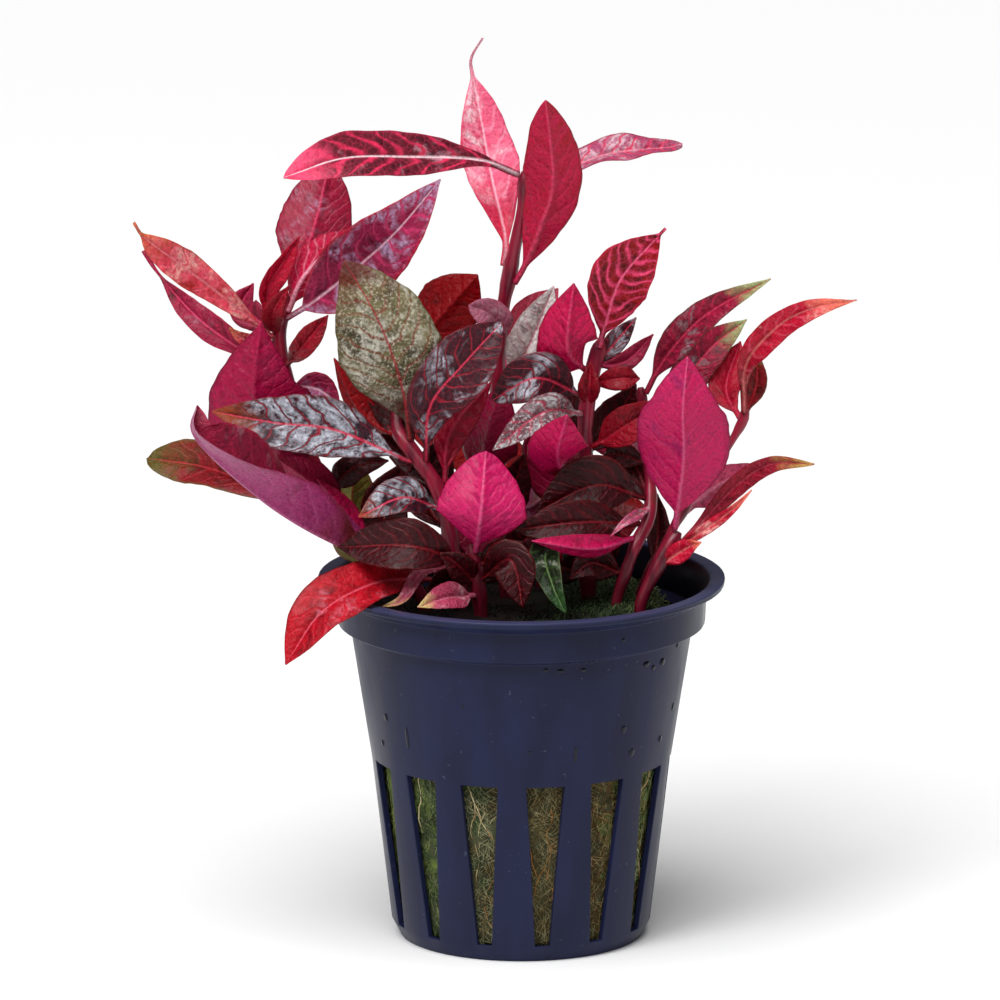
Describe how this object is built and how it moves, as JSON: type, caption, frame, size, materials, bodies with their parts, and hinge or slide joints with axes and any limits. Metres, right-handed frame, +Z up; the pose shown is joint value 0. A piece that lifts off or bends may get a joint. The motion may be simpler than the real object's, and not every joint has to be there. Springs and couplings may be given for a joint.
{
  "type": "potted aquarium plant",
  "caption": "Red-leaved aquarium stem plant rooted in a rock wool plug in a slotted net pot, with broad pointed leaves.",
  "frame": {"origin": "centre of the pot's flat underside", "axes": "+Z up along the pot's axis, -Y towards the front of the plant, +X to its right"},
  "size_m": [0.0963, 0.0566, 0.1209],
  "materials": {
    "net_pot_plastic": "moulded blue-black polypropylene, slightly glossy, wet",
    "rock_wool": "wet mineral fibre, olive brown with green moss",
    "stem": "fleshy red plant stem, satin",
    "leaf_upper": "glossy dark red leaf, upper side",
    "leaf_under": "satin crimson leaf, underside"
  },
  "bodies": {
    "root": {"pot": "net_pot_plastic", "rock_wool": "rock_wool", "stem_tall": "stem", "stem_left": "stem", "stem_centre": "stem", "stem_right": "stem", "stem_thin": "stem", "stem_red": "stem", "stem_front": "stem", "stem_stub": "stem", "stem_back": "stem", "leaf_tall_1": "leaf_under", "leaf_tall_2": "leaf_upper", "leaf_tall_3": "leaf_upper", "leaf_tall_4": "leaf_upper", "leaf_tall_5": "leaf_upper", "leaf_left_1": "leaf_under", "leaf_left_2": "leaf_under", "leaf_left_3": "leaf_upper", "leaf_left_4": "leaf_upper", "leaf_left_5": "leaf_upper", "leaf_left_6": "leaf_upper", "leaf_left_7": "leaf_upper", "leaf_left_8": "leaf_under", "leaf_left_9": "leaf_under", "leaf_left_10": "leaf_upper", "leaf_left_11": "leaf_under", "leaf_centre_1": "leaf_upper", "leaf_centre_2": "leaf_under", "leaf_centre_3": "leaf_upper", "leaf_centre_4": "leaf_upper", "leaf_centre_5": "leaf_under", "leaf_centre_6": "leaf_upper", "leaf_front_1": "leaf_under", "leaf_front_2": "leaf_upper", "leaf_front_3": "leaf_upper", "leaf_front_4": "leaf_upper", "leaf_right_1": "leaf_upper", "leaf_right_2": "leaf_under", "leaf_right_3": "leaf_upper", "leaf_right_4": "leaf_upper", "leaf_right_5": "leaf_under", "leaf_right_6": "leaf_upper", "leaf_right_7": "leaf_upper", "leaf_red_1": "leaf_upper", "leaf_red_2": "leaf_upper", "leaf_red_3": "leaf_upper", "leaf_red_4": "leaf_upper", "leaf_red_5": "leaf_under", "leaf_stub_1": "leaf_under", "leaf_stub_2": "leaf_upper", "leaf_thin_1": "leaf_upper", "leaf_thin_2": "leaf_upper", "leaf_thin_3": "leaf_under", "leaf_back_1": "leaf_upper", "leaf_back_2": "leaf_upper", "leaf_back_3": "leaf_upper", "leaf_back_4": "leaf_upper", "leaf_back_5": "leaf_upper", "leaf_back_6": "leaf_upper"}
  },
  "joints": []
}
